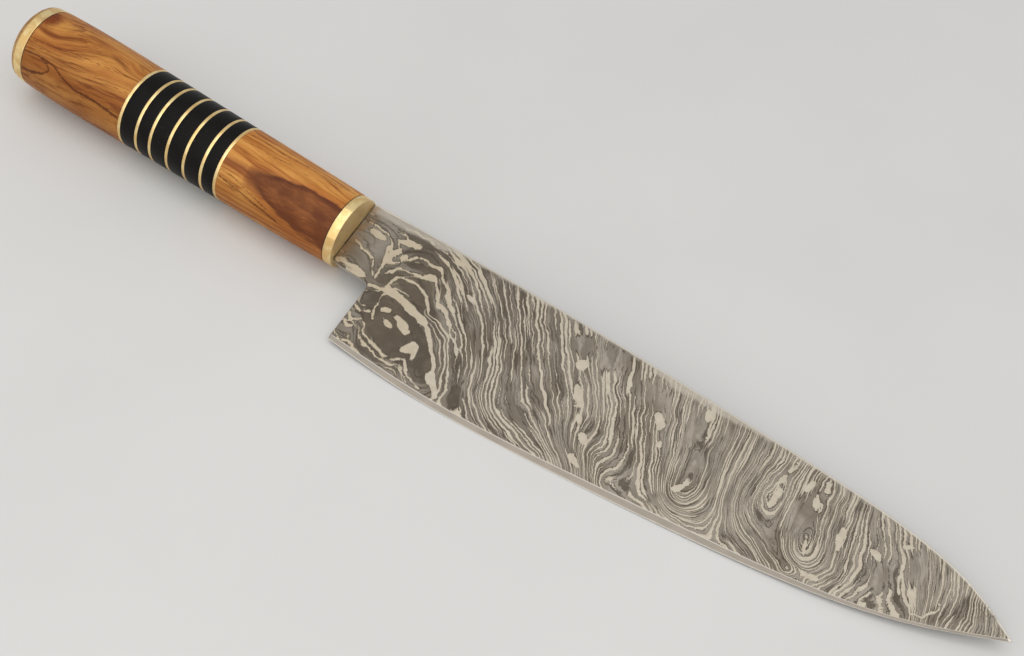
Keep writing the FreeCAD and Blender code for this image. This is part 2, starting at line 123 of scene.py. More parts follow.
# Height map of the forged layers: (height, points that lie at that height). The blade's face cuts
# through the stack, so the layers show as this map's contour lines.
LAYER_LINES = (
    (0.0, ((25, -17.5), (30, -19), (36, -19.5))),
    (1.6, ((20.3, -12), (20.2, -17), (26, -11.5), (33, -13.5), (39, -17), (42.5, -22), (42, -27.5),
           (36, -25.3), (30, -27), (24.5, -24.8), (21.3, -20.5))),
    (3.0, ((0.3, -8), (8, -8), (12.5, -11.5), (18, -10.5), (20, -8), (25, -7.3), (31, -9), (37, -12.3),
           (42, -16), (45.5, -22), (47, -29), (40, -29), (36, -27), (30, -28.8), (23, -27), (19, -20),
           (14, -18.5))),
    (4.4, ((0.3, -2.5), (8, -3), (12.5, -7.5), (16, -8.5), (18.3, -7), (19.8, -4.5), (25, -3.6), (30, -5.5),
           (34, -9.8), (39, -10.8), (44, -14.5), (48.5, -21), (51, -28), (14, -24), (20, -24), (24, -29),
           (36, -29))),
    (6.4, ((0.3, 4.8), (9, 5), (12.3, 1), (15, -2), (18, 0), (21.5, 3.8), (26, 4.6), (31, 2.8), (35, -2),
           (40, -5.5), (46, -10), (51, -17), (55, -25), (14, -30))),
    (8.8, ((8, 10.5), (20, 10.5), (30, 8.5), (38, 4), (45, -2), (51, -9), (55.5, -16), (59, -24),
           (66, -29))),
    (11.8, ((36, 12.2), (44, 7.5), (50, 1.5), (56, -6), (60, -14), (62.5, -21), (67, -25.5), (76, -28.5))),
    (15.6, ((50, 12.5), (57, 4), (63, -5), (68, -13), (73, -18), (80, -22), (88, -26.5))),
    (20.2, ((62, 12.5), (69, 3), (74, -4), (80, -11), (84.5, -17), (88, -22), (94, -26.5))),
    (24.5, ((74, 12.5), (80, 4), (86, -3), (90.5, -10), (91, -14.5))),
    (27.0, ((82, 12), (89, 0), (95, -10), (96.5, -16), (95.5, -20))),
    (30.5, ((92, 12), (98, 0), (103, -9), (106, -15), (105, -20), (103, -25))),
    (34.5, ((101, 12), (106, 2), (110, -7), (114, -15), (119, -20.5), (126, -22.5), (133, -22))),
    (39.0, ((110, 12), (113.5, 2), (116.5, -6), (118.5, -13), (121, -18), (125, -18.8), (128.5, -16),
            (129, -9), (127, 0), (126, 8), (124.5, 12.3))),
    (43.5, ((117.5, 14), (119, 10), (120, 2), (122, -6), (122.5, -13.5))),
    (33.0, ((131.5, 12), (132.5, 0), (134, -8), (136.5, -14), (140, -20), (146, -22))),
    (27.5, ((137, 12), (138, 3), (138, -5), (140, -11.5), (144, -14), (149, -16.5), (154, -19),
            (162, -19.5))),
    (24.5, ((143, 9), (141.6, 0), (142, -7), (146, -10.5), (150, -12), (154, -15), (159, -17.3),
            (165, -17.8), (149, 4), (150, -3))),
    (22.5, ((146, -2), (145.8, 2), (146, 7), (146.5, 11.5))),
    (27.0, ((151.5, 11), (152.5, 3), (153, -5), (155.2, -11), (159, -15), (164, -15.2), (166, -10),
            (164, -2), (162.8, 5), (161.5, 11))),
    (30.0, ((156.5, 2), (156, -6), (158.5, -12), (161, -12), (161.5, -7), (159.5, 0), (158.5, 8),
            (157, 11.5))),
    (31.5, ((158.5, -7),)),
    (24.0, ((166.5, 11), (168, 0), (170, -8), (170.5, -12), (168, -16))),
    (20.2, ((171, 11), (175, 3), (178, -5), (179, -10), (176.5, -15))),
    (17.5, ((177, 10.5), (182, 3), (186, -4), (189, -9), (192.5, -11.5))),
    (15.0, ((184.5, 9.5), (188.5, 3), (191.5, -3), (194, -8))),
    (11.8, ((190, 8.5), (193.5, 2), (195.5, -4), (196.5, -9.5))),
    (8.8, ((196.5, 7), (199, 0), (199.5, -8.5))),
    (6.0, ((202.5, 5.5), (204.5, -1), (204.5, -7))),
    (2.0, ((208, 3), (210, -2), (210.5, -5))),
    (-1.0, ((214, 0.5), (215, -2.5))),
)

# Single light layers that stand out: (half width, points along it).
LIGHT_LAYERS = (
    (0.55, ((13.8, -11.6), (16.5, -10.9), (18.6, -10.2), (19.3, -8.6))),
    (1.25, ((20.5, -9.6), (25, -10.0), (30, -11.2), (34, -12.6))),
    (0.65, ((33, -12.0), (37, -14.2), (40.5, -17), (43.5, -21), (46, -25.5), (50, -29.6))),
    (0.3, ((19.7, -10.5), (19.7, -16), (21.6, -19.8))),
    (0.5, ((18.6, -8.6), (19.3, -5), (22, -4.0), (26, -3.5), (30, -5.2), (33.5, -9.2))),
    (0.42, ((16, -5.2), (18.6, -2.4), (22, -1.6), (26, -1.0), (29.6, 0.4), (32.5, -2.6), (35, -6),
            (38.5, -6.4), (42, -10.6), (45, -12), (48, -15.2))),
    (0.45, ((13.2, 1.6), (14.4, -1.8), (17.6, -0.6), (20.5, 4.0), (26, 4.3), (30.5, 3.7), (33, 1.0),
            (35.5, -1.6), (37.5, -3.4), (39.5, -5.2))),
    (0.35, ((2, 5.9), (9, 5.6), (12, 3.6), (12.1, 0), (14, -2.6), (14.2, -8.5))),
    (0.4, ((25.5, 7.5), (30, 7.4), (34, 5.2), (38.5, 1.6))),
    (0.3, ((12, 10.4), (20, 10.4), (28, 9.8), (34, 8.8))),
    (0.35, ((2.5, -1.6), (7, -3.2), (10.6, -4), (13, -8.4))),
    (0.9, ((1.2, -9.4), (6, -9.2), (10.5, -9.9))),
    (0.4, ((18.8, -21.8), (20.4, -22.8), (21.6, -24.9), (25, -26.2), (30.5, -27.2), (33.6, -26.7),
           (36, -24.9), (38, -26.6), (39.8, -28.8), (45.6, -30.4))),
    (0.35, ((14.2, -18.6), (17, -19.8), (19.6, -18.4))),
    (0.5, ((14.2, -21.3), (16.2, -23.0), (18.8, -21.8))),
    (0.45, ((190.6, -7.6), (192.8, -9.6), (195.6, -9.2), (197.2, -6.8), (198, -4))),
    (0.5, ((184.8, 1.0), (185.6, -2.4), (187.0, -6.2))),
    (0.34, ((14.2, -23.8), (16.2, -25.2), (19.4, -24.1), (22.2, -27.2), (30, -28.9), (33.6, -28.2),
            (36, -26.7), (37.6, -28.2), (40.8, -30.8))),
    (0.3, ((14.2, -28.6), (17, -30.6), (19, -29.6), (24, -30.8), (30, -31.2))),
    (0.22, ((14.2, -17.0), (17, -17.6), (19.2, -16.8))),
)

# Light islands, where the face just grazes a layer: (middle, half length, half width, turn in degrees).
LIGHT_ISLANDS = (
    ((23.2, -15.3), 1.7, 0.9, 5),
    ((30.0, -16.6), 3.8, 1.3, -18),
    ((25.6, -18.8), 1.8, 0.95, -15),
    ((35.6, -21.0), 2.6, 1.7, 60),
    ((37.6, -22.8), 1.9, 0.9, -70),
    ((45.6, -25.3), 1.9, 1.4, -80),
    ((14.9, 2.0), 1.5, 1.0, 70),
    ((16.6, 6.4), 3.8, 0.9, 8),
    ((6.6, 3.4), 3.6, 1.3, -6),
    ((17.2, 1.2), 0.9, 1.4, 0),
    ((42.3, 1.4), 2.3, 1.0, -20),
    ((27.5, 0.6), 1.8, 1.0, 20),
    ((80.2, 2.1), 2.1, 1.6, 30),
    ((84.5, -7.0), 3.8, 1.1, -55),
    ((88.0, -12.5), 1.7, 1.0, -60),
    ((92.3, -16.7), 1.4, 1.3, 40),
    ((93.2, -23.7), 2.6, 1.0, -25),
    ((107.6, -0.2), 2.6, 1.3, -60),
    ((111.2, -6.6), 1.3, 0.8, 80),
    ((122.2, -14.5), 1.8, 0.9, 55),
    ((146.0, -2.0), 4.0, 1.2, 88),
    ((152.6, 6.6), 2.4, 0.9, 75),
    ((156.6, 2.6), 2.1, 1.0, -75),
    ((159.8, -10.0), 2.4, 0.7, -68),
    ((166.8, -2.4), 3.6, 1.1, -75),
    ((164.0, -16.0), 3.0, 0.8, -5),
    ((177.2, -1.1), 2.0, 1.1, -20),
    ((183.8, 6.0), 1.5, 0.8, 25),
)

# Quiet places, where the dark layers run together: (middle, half length, half width, turn in degrees).
DARK_POOLS = (
    ((30.0, -19.5), 12.5, 6.2, -18),
    ((27.0, -6.6), 8.0, 1.2, -14),
    ((17.0, -15.0), 2.8, 3.0, 0),
    ((25.0, 2.0), 5.0, 1.0, 12),
    ((16.5, -6.0), 1.8, 2.6, 0),
    ((42.5, -22.0), 1.8, 5.0, 25),
    ((55.0, -27.4), 1.8, 3.2, 20),
    ((77.0, 7.0), 3.2, 2.6, 0),
    ((87.5, 8.0), 3.2, 2.8, 0),
    ((103.0, 5.5), 4.5, 2.6, -30),
    ((117.0, 3.0), 1.6, 6.0, 0),
    ((118.0, -21.0), 1.0, 1.0, 0),
    ((154.5, -2.0), 2.4, 5.0, 0),
    ((188.5, 1.5), 2.2, 4.0, 0),
    ((6.0, 1.0), 7.0, 10.0, 0),
    ((181.0, -5.5), 2.0, 4.0, 25),
)

# Fine lines and cracks on the wood's upper side: (half width, points along them).
FRONT_WOOD_MARKS = (
    (0.16, ((-42, -9.4), (-36, -9.9), (-28, -10.6), (-20, -11.2))),
    (0.12, ((-42, 2.6), (-36, 3.6), (-31, 3.0), (-25, 4.3), (-18, 4.0))),
    (0.14, ((-41, 6.2), (-34, 6.6), (-28, 6.0), (-20, 7.2), (-10, 7.0), (-4, 7.8))),
    (0.12, ((-42, -7.6), (-37, -8.0), (-31, -9.2), (-24, -10.2))),
)
REAR_WOOD_MARKS = (
    (0.24, ((-118.5, -8.2), (-113, -7.8), (-109.4, -8.6), (-107.8, -9.6), (-110, -11), (-114, -11.8),
            (-118.5, -12))),
    (0.26, ((-112, -7.8), (-107, -8.0), (-103, -9.4), (-98, -10.4), (-90, -10.2), (-80.5, -10.6))),
    (0.13, ((-118, -4.8), (-110, -3.6), (-102, -1.8), (-92, -0.6), (-82, 0.8))),
    (0.1, ((-118, -6.4), (-108, -5.2), (-98, -4.4), (-88, -4.6), (-80.5, -3.8))),
)

# ---- curves and fields ----


def smoothstep(value, low, high):
    """Smooth step from 0 at low to 1 at high."""
    share = np.clip((value - low) / (high - low), 0.0, 1.0)
    return share * share * (3.0 - 2.0 * share)


def spline(knots):
    """Natural cubic spline through (x, y) knots, as a function of x."""
    xs, ys = (np.array(column, float) for column in zip(*knots))
    gaps = np.diff(xs)
    count = len(xs)
    system = np.eye(count)
    right = np.zeros(count)
    for i in range(1, count - 1):
        system[i, i - 1:i + 2] = gaps[i - 1], 2 * (gaps[i - 1] + gaps[i]), gaps[i]
        right[i] = 6 * ((ys[i + 1] - ys[i]) / gaps[i] - (ys[i] - ys[i - 1]) / gaps[i - 1])
    bends = np.linalg.solve(system, right)

    def value(x):
        x = np.asarray(x, float)
        i = np.clip(np.searchsorted(xs, x) - 1, 0, count - 2)
        gap = gaps[i]
        after = (x - xs[i]) / gap
        before = 1.0 - after
        bend = ((before ** 3 - before) * bends[i] + (after ** 3 - after) * bends[i + 1]) * gap ** 2 / 6
        return before * ys[i] + after * ys[i + 1] + bend

    return value


spine_y = spline(SPINE_LINE)
edge_y = spline(EDGE_LINE)
bevel_width = spline(BEVEL_WIDTH)


def handle_radius(station):
    """Barrel of the handle, the polynomial through RADIUS_KNOTS."""
    radius = 0.0
    for here, value in RADIUS_KNOTS:
        weight = 1.0
        for other, _ in RADIUS_KNOTS:
            if other != here:
                weight = weight * (station - other) / (here - other)
        radius = radius + weight * value
    return radius


def layer_height(x, y):
    """Smoothest surface (thin-plate spline) over the points of LAYER_LINES, at each x, y."""
    points = np.array([p for _, line in LAYER_LINES for p in line], float)
    heights = np.array([h for h, line in LAYER_LINES for _ in line], float)
    stiffness = 2.0

    def bending(distance_squared):
        return 0.5 * distance_squared * np.log(np.maximum(distance_squared, 1e-9))

    count = len(points)
    system = np.zeros((count + 3, count + 3))
    apart = ((points[:, None] - points[None]) ** 2).sum(-1)
    system[:count, :count] = bending(apart) + stiffness * np.eye(count)
    system[:count, count] = system[count, :count] = 1.0
    system[:count, count + 1:] = points
    system[count + 1:, :count] = points.T
    weights = np.linalg.solve(system, np.concatenate([heights, np.zeros(3)]))
    total = weights[count] + weights[count + 1] * x + weights[count + 2] * y
    for (px, py), weight in zip(points, weights):
        total = total + weight * bending((x - px) ** 2 + (y - py) ** 2)
    return total


def stroke_depth(x, y, strokes):
    """How far inside the nearest stroke each point lies, in millimetres; negative outside."""
    depth = np.full(np.shape(x), FAR_OUTSIDE)
    for half_width, line in strokes:
        for (ax, ay), (bx, by) in zip(line, line[1:]):
            length_squared = (bx - ax) ** 2 + (by - ay) ** 2
            share = np.clip(((x - ax) * (bx - ax) + (y - ay) * (by - ay)) / length_squared, 0.0, 1.0)
            away = np.hypot(x - ax - share * (bx - ax), y - ay - share * (by - ay))
            depth = np.maximum(depth, half_width - away)
    return depth


def ellipse_depth(x, y, ellipses):
    """Like stroke_depth, for ellipses given as (middle, half length, half width, turn in degrees)."""
    depth = np.full(np.shape(x), FAR_OUTSIDE)
    for (cx, cy), half_length, half_width, turn in ellipses:
        angle = math.radians(turn)
        along = ((x - cx) * math.cos(angle) + (y - cy) * math.sin(angle)) / half_length
        across = ((y - cy) * math.cos(angle) - (x - cx) * math.sin(angle)) / half_width
        depth = np.maximum(depth, (1.0 - np.hypot(along, across)) * min(half_length, half_width))
    return depth


def lattice_noise(x, y, cell, seed):
    """Smooth random field between -1 and 1 with features about a cell wide, in millimetres."""
    size = 512
    shift = 100.0
    table = np.random.default_rng(seed).uniform(-1.0, 1.0, (size, size))
    across, up = x / cell + shift, y / cell + shift
    i, j = np.floor(across).astype(int), np.floor(up).astype(int)
    u, v = smoothstep(across - i, 0.0, 1.0), smoothstep(up - j, 0.0, 1.0)
    i, j = i % (size - 1), j % (size - 1)
    low = table[i, j] * (1 - u) + table[i + 1, j] * u
    high = table[i, j + 1] * (1 - u) + table[i + 1, j + 1] * u
    return low * (1 - v) + high * v


# ---- meshes ----


def knife_matrix():
    """From the knife's axes to the frame: the rest turn, with the ferrule where its node is."""
    turn = Matrix.Rotation(REST_PITCH, 4, "Y") @ Matrix.Rotation(REST_ROLL, 4, "X")
    low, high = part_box("ferrule")
    front = (low + high) / 2 + turn.to_3x3() @ Vector((FERRULE / 2 * MM, 0.0, 0.0))
    return Matrix.Translation(front) @ turn


KNIFE = knife_matrix()


def add_object(name, data):
    """The data as a new object in the scene."""
    made = bpy.data.objects.new(name, data)
    bpy.context.scene.collection.objects.link(made)
    return made


def add_piece(name, points, faces, material, node, fields=None, second=None, second_on=None):
    """A smooth-shaded mesh in the knife's axes that stands for one CAD node.

    fields are named values per point. second is the material of the faces marked in second_on.
    """
    mesh = bpy.data.meshes.new(name)
    mesh.from_pydata((np.asarray(points, float) * MM).tolist(), [], faces)
    mesh.materials.append(material)
    for key, values in (fields or {}).items():
        layer = mesh.attributes.new(key, "FLOAT", "POINT")
        layer.data.foreach_set("value", np.asarray(values, np.float32))
    if second:
        mesh.materials.append(second)
        mesh.polygons.foreach_set("material_index", np.asarray(second_on, np.int32))
    tidy_mesh(mesh)
    mesh.transform(KNIFE)
    piece = add_object(name, mesh)
    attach(piece, "root")
    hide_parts(node)


def tidy_mesh(mesh):
    """Merges doubled points, turns every face outwards, shades smooth but keeps the hard edges."""
    work = bmesh.new()
    work.from_mesh(mesh)
    bmesh.ops.remove_doubles(work, verts=work.verts, dist=0.002 * MM)
    bmesh.ops.recalc_face_normals(work, faces=work.faces)
    for face in work.faces:
        face.smooth = True
    for edge in work.edges:
        edge.smooth = edge.calc_face_angle(0.0) < SHARP
    work.to_mesh(mesh)
    work.free()


def lathe(profile, scale=1.0):
    """Points and faces of a closed loop of (station, radius) turned about the handle's axis.

    scale is the radius at each of ANGLES, as a share of a round one's.
    """
    rings = []
    for station, radius in profile:
        radii = np.full(TURNS, radius) * scale
        rings.append(np.stack([np.full(TURNS, -station), radii * np.cos(ANGLES), radii * np.sin(ANGLES)], 1))
    faces = []
    for i in range(len(profile)):
        near, far = i * TURNS, (i + 1) % len(profile) * TURNS
        for j in range(TURNS):
            k = (j + 1) % TURNS
            faces.append((near + j, near + k, far + k, far + j))
    return np.concatenate(rings), faces


def rim(face, inward, size):
    """Quarter round from a slice's face out to its skin. inward is 1 at its front face, -1 behind."""
    loop = []
    for turned in np.radians((0, 30, 60, 90)):
        station = face + inward * size * (1 - math.cos(turned))
        loop.append((station, handle_radius(station) - size * (1 - math.sin(turned))))
    return loop


def slice_profile(start, thickness, front_round, back_round, step=2.0, bore=BORE):
    """Half profile of one slice of the handle: front face, skin at the barrel's radius, back face."""
    end = start + thickness
    count = max(1, round(thickness / step))
    skin = np.linspace(start + front_round, end - back_round, count + 1)[1:-1]
    loop = [(start, bore)] + rim(start, 1, front_round)
    loop += [(station, handle_radius(station)) for station in skin]
    loop += rim(end, -1, back_round)[::-1] + [(end, bore)]
    return loop


def filed_flats(seed, count, depth):
    """Scale of the radius at each of ANGLES where a file has left that many uneven flats."""
    rng = np.random.default_rng(seed)
    corners = np.cumsum(rng.uniform(0.6, 1.4, count))
    corners = corners / corners[-1] * 2 * math.pi
    middles = (corners + np.roll(corners, 1)) / 2
    middles[0] = (corners[0] + corners[-1] - 2 * math.pi) / 2
    halves = np.diff(np.concatenate([[0.0], corners])) / 2
    which = np.searchsorted(corners, ANGLES) % count
    away = (ANGLES - middles[which] + math.pi) % (2 * math.pi) - math.pi
    flat = np.cos(halves[which]) / np.cos(away)
    return 1.0 - depth * (1.0 - flat)


def surface_marks(points, strokes):
    """stroke_depth over the handle's upper side, given by x and y; far away on the lower side."""
    depth = stroke_depth(points[:, 0], points[:, 1], strokes)
    return np.where(points[:, 2] > 0, depth, FAR_OUTSIDE)


def make_handle():
    """Every slice of the stack, one behind the other, each with its own material."""
    brass = brass_material("polished_brass")
    # Brass of the ferrule and the cap: more tarnish, a dull film, and a painted reflection on the cap's rim.
    aged = brass_material("aged_brass_with_rim_reflection", aged=True)
    horn = black_material()

    make_ferrule(aged)
    station = FERRULE + GLUE_LINE
    profile = slice_profile(station, FRONT_WOOD, WOOD_ROUND, WOOD_ROUND, CELL)
    make_wood("wood_front", "front_wood", profile, front_wood_material(), FRONT_WOOD_MARKS)
    station += FRONT_WOOD
    for number, thickness in enumerate(BLACK_RINGS, start=1):
        make_ring(f"brass_ring_{number}", station, BRASS_RING, brass)
        station += BRASS_RING
        make_ring(f"black_ring_{number}", station, thickness, horn)
        station += thickness
    make_ring(f"brass_ring_{len(BLACK_RINGS) + 1}", station, BRASS_RING, brass)
    station += BRASS_RING
    profile = slice_profile(station, REAR_WOOD, WOOD_ROUND, WOOD_ROUND, CELL)
    rear_face = station + REAR_WOOD
    bore_floor = rear_face - COUNTERBORE_DEPTH
    profile[-1:] = [(rear_face, COUNTERBORE), (bore_floor, COUNTERBORE), (bore_floor, BORE)]
    make_wood("wood_rear", "rear_wood", profile, rear_wood_material(), REAR_WOOD_MARKS)
    make_cap(station + (REAR_WOOD + GLUE_LINE), aged)


def make_ferrule(material):
    """Solid brass disc whose skin is filed in uneven flats. The tang's mesh runs on inside it."""
    profile = slice_profile(0.0, FERRULE, FERRULE_FRONT_ROUND, METAL_ROUND, step=0.6, bore=0.0)
    points, faces = lathe(profile, filed_flats(SEED, count=22, depth=0.5))
    add_piece("ferrule_filed", points, faces, material, "ferrule")


def make_wood(name, node, profile, material, marks):
    """One wood block. Its field holds how far inside a drawn line each point lies."""
    points, faces = lathe(profile)
    add_piece(name, points, faces, material, node, {"marks": surface_marks(points, marks)})


def make_ring(node, station, thickness, material):
    points, faces = lathe(slice_profile(station, thickness, METAL_ROUND, METAL_ROUND))
    add_piece(f"{node}_turned", points, faces, material, node)


def make_cap(station, material):
    """Solid brass disc with a rounded rear rim, filed in smaller flats than the ferrule."""
    profile = slice_profile(station, CAP, METAL_ROUND, CAP_ROUND, step=0.5, bore=0.0)
    points, faces = lathe(profile, filed_flats(SEED + 1, count=26, depth=0.35))
    add_piece("cap", points, faces, material, "butt_cap")


def fine_ended(length):
    """Even divisions of a length, with finer ones at both ends for the rounded arris."""
    fine = np.array((0.0, ARRIS / 3, ARRIS))
    count = round((length - 2 * ARRIS) / CELL)
    middle = np.linspace(ARRIS, length - ARRIS, count + 1)[1:]
    return np.concatenate([fine, middle, length - fine[1::-1]])


def neck_lower(x):
    """Lower outline of the neck, from its rounded corner at the ferrule to the choil's inner corner."""
    from_corner = np.clip((SHOULDER + NECK_CORNER_LENGTH - x) / NECK_CORNER_LENGTH, 0.0, 1.0)
    into_choil = np.clip(x - (HEEL_BACK - CHOIL), 0.0, CHOIL)
    choil = CHOIL - np.sqrt(CHOIL ** 2 - into_choil ** 2)
    return NECK_BOTTOM + NECK_CORNER_RISE * from_corner ** 2 - choil


def outline_distance(x, y):
    """Distance in from the blade's outline, without the cutting edge and the end at the ferrule."""
    slope = spine_y(x + 0.5) - spine_y(x - 0.5)
    from_spine = (spine_y(x) - y) / np.sqrt(1 + slope ** 2)
    choil_x, choil_y = HEEL_BACK - CHOIL, NECK_BOTTOM - CHOIL
    from_choil = np.hypot(x - choil_x, y - choil_y) - CHOIL
    below = np.where(x < choil_x, y - neck_lower(x), from_choil)
    from_lower = np.where(y < choil_y, x - HEEL_BACK, below)
    return np.maximum(np.minimum(from_spine, from_lower), 0.0)


def half_thickness(x, y):
    """The ground flat above the blade's middle plane, with its arris rounded off."""
    flat = HALF_SPINE - DISTAL_TAPER * x + EDGE_TAPER * (y - SPINE_LINE[0][1])
    flat = flat * (1 - TIP_THINNING * smoothstep(x, TIP_THINNING_FROM, SPINE_LINE[-1][0]))
    short = np.clip(ARRIS - outline_distance(x, y), 0.0, ARRIS)
    return flat - (ARRIS - np.sqrt(ARRIS ** 2 - short ** 2)) * flat / HALF_SPINE


def seam_rows():
    """Depths below the spine of the points on the seam of neck and blade: the neck's, and all."""
    top = float(spine_y(HEEL_BACK))
    neck_bottom = NECK_BOTTOM - CHOIL
    neck_rows = fine_ended(top - neck_bottom)
    bevel_top = EDGE_LINE[0][1] + BEVEL_WIDTH[0][1]
    lower = np.linspace(neck_bottom, bevel_top, round((neck_bottom - bevel_top) / CELL) + 1)[1:]
    return neck_rows, np.concatenate([neck_rows, top - lower])


def blade_points(rows):
    """Grids of x, y, half thickness and share of the way down the bevel, from the heel to the tip."""
    xs = HEEL_BACK + fine_ended(EDGE_LINE[-1][0] - TIP_BLUNTNESS - HEEL_BACK)
    top, edge = spine_y(xs), edge_y(xs)
    slope = edge_y(xs + 0.5) - edge_y(xs - 0.5)
    border = edge + np.minimum(bevel_width(xs) * np.sqrt(1 + slope ** 2), BEVEL_LIMIT * (top - edge))
    shares = rows / rows[-1]
    flat_y = top[:, None] - shares[None] * (top - border)[:, None]
    flat_z = half_thickness(xs[:, None] + 0 * flat_y, flat_y)
    bevel_y = border[:, None] + (edge - border)[:, None] * BEVEL_STEPS
    bevel_z = flat_z[:, -1:] + (EDGE_LAND - flat_z[:, -1:]) * BEVEL_STEPS
    y = np.concatenate([flat_y, bevel_y], 1)
    z = np.concatenate([flat_z, bevel_z], 1)
    bevel_share = np.zeros(y.shape)
    bevel_share[:, -len(BEVEL_STEPS):] = BEVEL_STEPS
    return xs[:, None] + 0 * y, y, z, bevel_share


def neck_points(rows):
    """The same grids for the neck, short of the seam, which is the blade's first column."""
    xs = SHOULDER + fine_ended(HEEL_BACK - SHOULDER)[:-1]
    top = spine_y(xs)
    shares = rows / rows[-1]
    y = top[:, None] - shares[None] * (top - neck_lower(xs))[:, None]
    x = xs[:, None] + 0 * y
    return x, y, half_thickness(x, y), 0 * x


def blade_grid():
    """Front side of blade and neck: x, y, half thickness and share of the way down the bevel at
    each point, quads, which quads are on the bevel, and the outline loop."""
    neck_rows, blade_rows = seam_rows()
    blade, neck = blade_points(blade_rows), neck_points(neck_rows)
    size, neck_size = blade[0].size, neck[0].size
    index = np.arange(size).reshape(blade[0].shape)
    neck_index = size + np.arange(neck_size).reshape(neck[0].shape)
    seam = len(neck_rows)
    neck_index = np.concatenate([neck_index, index[:1, :seam]])

    blade_quads, neck_quads = grid_quads(index), grid_quads(neck_index)
    per_column = index.shape[1] - 1
    flat_rows = per_column - len(BEVEL_STEPS)
    on_bevel = [i % per_column >= flat_rows for i in range(len(blade_quads))]
    on_bevel += [False] * len(neck_quads)
    # Along the spine, down the tip, back along the edge, up the heel, the neck's lower side, the shoulder.
    loop = np.concatenate([
        neck_index[:-1, 0], index[:-1, 0], index[-1, :-1], index[:0:-1, -1],
        index[0, :seam - 1:-1], neck_index[:0:-1, -1], neck_index[0, :0:-1],
    ])
    flat = [np.concatenate([a.ravel(), b.ravel()]) for a, b in zip(blade, neck)]
    return flat, blade_quads + neck_quads, on_bevel, loop


def grid_quads(index):
    """Quads over a grid of point numbers, column by column."""
    corners = np.stack([index[:-1, :-1], index[1:, :-1], index[1:, 1:], index[:-1, 1:]], -1)
    return [tuple(quad) for quad in corners.reshape(-1, 4).tolist()]


def pattern_fields(x, y):
    """The three fields that the damascus material draws its layers from."""

    def waver(seed):
        """Shift that makes the drawn lines irregular, in millimetres."""
        return 0.55 * lattice_noise(x, y, 2.6, seed) + 0.25 * lattice_noise(x, y, 1.1, seed + 1)

    bent_x, bent_y = x + waver(SEED), y + waver(SEED + 2)
    swell = 0.22 * lattice_noise(x, y, 1.7, SEED + 4)
    strokes = stroke_depth(bent_x, bent_y, LIGHT_LAYERS) + swell
    islands = ellipse_depth(bent_x, bent_y, LIGHT_ISLANDS) + swell
    pools = ellipse_depth(bent_x, bent_y, DARK_POOLS)
    heel = 1.0 - smoothstep(x + 0.55 * y, 27.0, 40.0)
    calm = np.maximum(smoothstep(pools, -2.2, 1.6), 0.35 * heel)
    return layer_height(x, y), np.maximum(strokes, islands), calm


def make_blade():
    """Blade, neck, hidden tang and threaded rod in one mesh."""
    (x, y, z, bevel_share), quads, on_bevel, loop = blade_grid()
    count = len(x)
    points = np.concatenate([np.stack([x, y, z], 1), np.stack([x, y, -z], 1)])
    faces = quads + [tuple(i + count for i in quad[::-1]) for quad in quads]
    faces += [(a, b, b + count, a + count) for a, b in zip(loop.tolist(), np.roll(loop, -1).tolist())]
    satin_on = on_bevel + on_bevel + [True] * len(loop)

    near = pattern_fields(x, y)
    far = pattern_fields(FAR_SIDE_SCALE[0] * x + FAR_SIDE_SHIFT[0], FAR_SIDE_SCALE[1] * y + FAR_SIDE_SHIFT[1])
    fields = [np.concatenate(pair) for pair in zip(near, far)]
    fields += [np.tile(field, 2) for field in (spine_y(x) - y, bevel_share)]
    names = ("layers", "placed", "calm", "from_spine", "bevel_share")
    # On the tang: no pattern, away from the spine's painted highlight, between the painted highlights on the
    # bevel's borders.
    on_tang = (0.0, 0.0, 0.0, 9.0, 0.5)

    for extra, extra_faces in (tang_mesh(), lathe(thread_profile())):
        offset = len(points)
        points = np.concatenate([points, extra])
        faces += [tuple(i + offset for i in face) for face in extra_faces]
        satin_on += [True] * len(extra_faces)
        fields = [np.append(field, np.full(len(extra), value)) for field, value in zip(fields, on_tang)]
    add_piece("blade_forged", points, faces, damascus_material(), "blade",
              dict(zip(names, fields)), satin_material(), satin_on)


def tang_mesh():
    """Flat bar from the neck back into the handle."""
    half_width, half_thick = TANG_WIDTH / 2, TANG_THICKNESS / 2
    corners = ((-half_width, -half_thick), (half_width, -half_thick),
               (half_width, half_thick), (-half_width, half_thick))
    points = [(x, y, z) for x in (-TANG_LENGTH, SHOULDER) for y, z in corners]
    faces = [(0, 1, 2, 3), (4, 5, 6, 7)] + [(i, (i + 1) % 4, 4 + (i + 1) % 4, 4 + i) for i in range(4)]
    return np.array(points), faces


def thread_profile():
    """Closed half profile of the rod, with one groove per thread."""
    loop = [(ROD_START, 0.0), (ROD_START, ROD_RADIUS)]
    turns = int((ROD_END - ROD_START) / THREAD_PITCH)
    for turn in range(turns):
        groove = ROD_START + (turn + 0.5) * THREAD_PITCH
        loop += [(groove, ROD_RADIUS - THREAD_DEPTH), (groove + THREAD_PITCH / 2, ROD_RADIUS)]
    return loop + [(ROD_END, ROD_RADIUS), (ROD_END, 0.0)]


# ---- materials ----

# Places on the knife where the colour changes round one point.
BURN_AT = (102.0, -7.0, 0.0)
SPOTS_AT = (210.0, 1.6, 0.0)
KNOT_AT = (-118.5, 4.5, 12.0)


def colour(red, green, blue):
    """Linear colour from the three values of a colour picker, 0 to 255."""
    linear = []
    for value in (red, green, blue):
        share = value / 255
        linear.append(share / 12.92 if share <= 0.04045 else ((share + 0.055) / 1.055) ** 2.4)
    return (*linear, 1.0)


